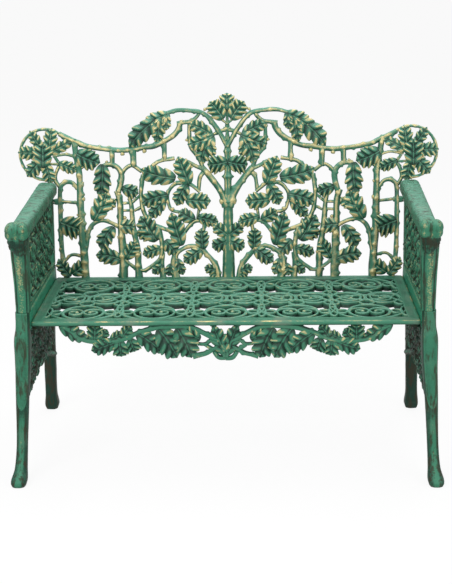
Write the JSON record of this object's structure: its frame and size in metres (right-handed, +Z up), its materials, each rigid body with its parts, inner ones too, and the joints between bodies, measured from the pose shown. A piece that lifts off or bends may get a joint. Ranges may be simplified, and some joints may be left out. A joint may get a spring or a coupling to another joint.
{
  "type": "garden bench",
  "caption": "Cast-metal garden bench with a pierced foliage back, pierced seat of rings and scrolls, leafy apron and hound-headed arms on cabriole legs, in verdigris green rubbed with gold.",
  "frame": {"origin": "on the ground, at the middle of the bench's box", "axes": "+X along the seat to the right-hand arm as the sitter's front is looked at, +Y to the back, +Z up"},
  "size_m": [1.2012, 0.5911, 0.9508],
  "materials": {
    "back_verdigris": "matt verdigris paint with gold rubbed on the raised edges",
    "seat_verdigris": "matt verdigris paint with gold rubbed on the raised edges",
    "apron_verdigris": "matt verdigris paint with gold rubbed on the raised edges",
    "arm_verdigris": "matt verdigris paint over a dark brown ground",
    "leg_verdigris": "matt verdigris paint over a dark brown ground, gold on the ridges",
    "bearer_paint": "matt dark green paint",
    "fastener_steel": "dull zinc-plated steel"
  },
  "bodies": {
    "root": {"back_panel": "back_verdigris", "seat_panel": "seat_verdigris", "apron": "apron_verdigris", "arm_right": "arm_verdigris", "arm_left": "arm_verdigris", "leg_frame_right": "leg_verdigris", "leg_frame_left": "leg_verdigris", "seat_bearer_front": "bearer_paint", "seat_bearer_rear": "bearer_paint", "post_studs": "fastener_steel", "seat_bolts": "fastener_steel", "seat_washers": "fastener_steel", "back_rail_bolts": "fastener_steel", "back_rail_washers": "fastener_steel", "back_rail_nuts": "fastener_steel", "end_bolts": "fastener_steel", "end_washers": "fastener_steel", "apron_screws": "fastener_steel", "apron_washers": "fastener_steel", "bearer_bolts": "fastener_steel", "bearer_washers": "fastener_steel", "bearer_nuts": "fastener_steel"}
  },
  "joints": []
}
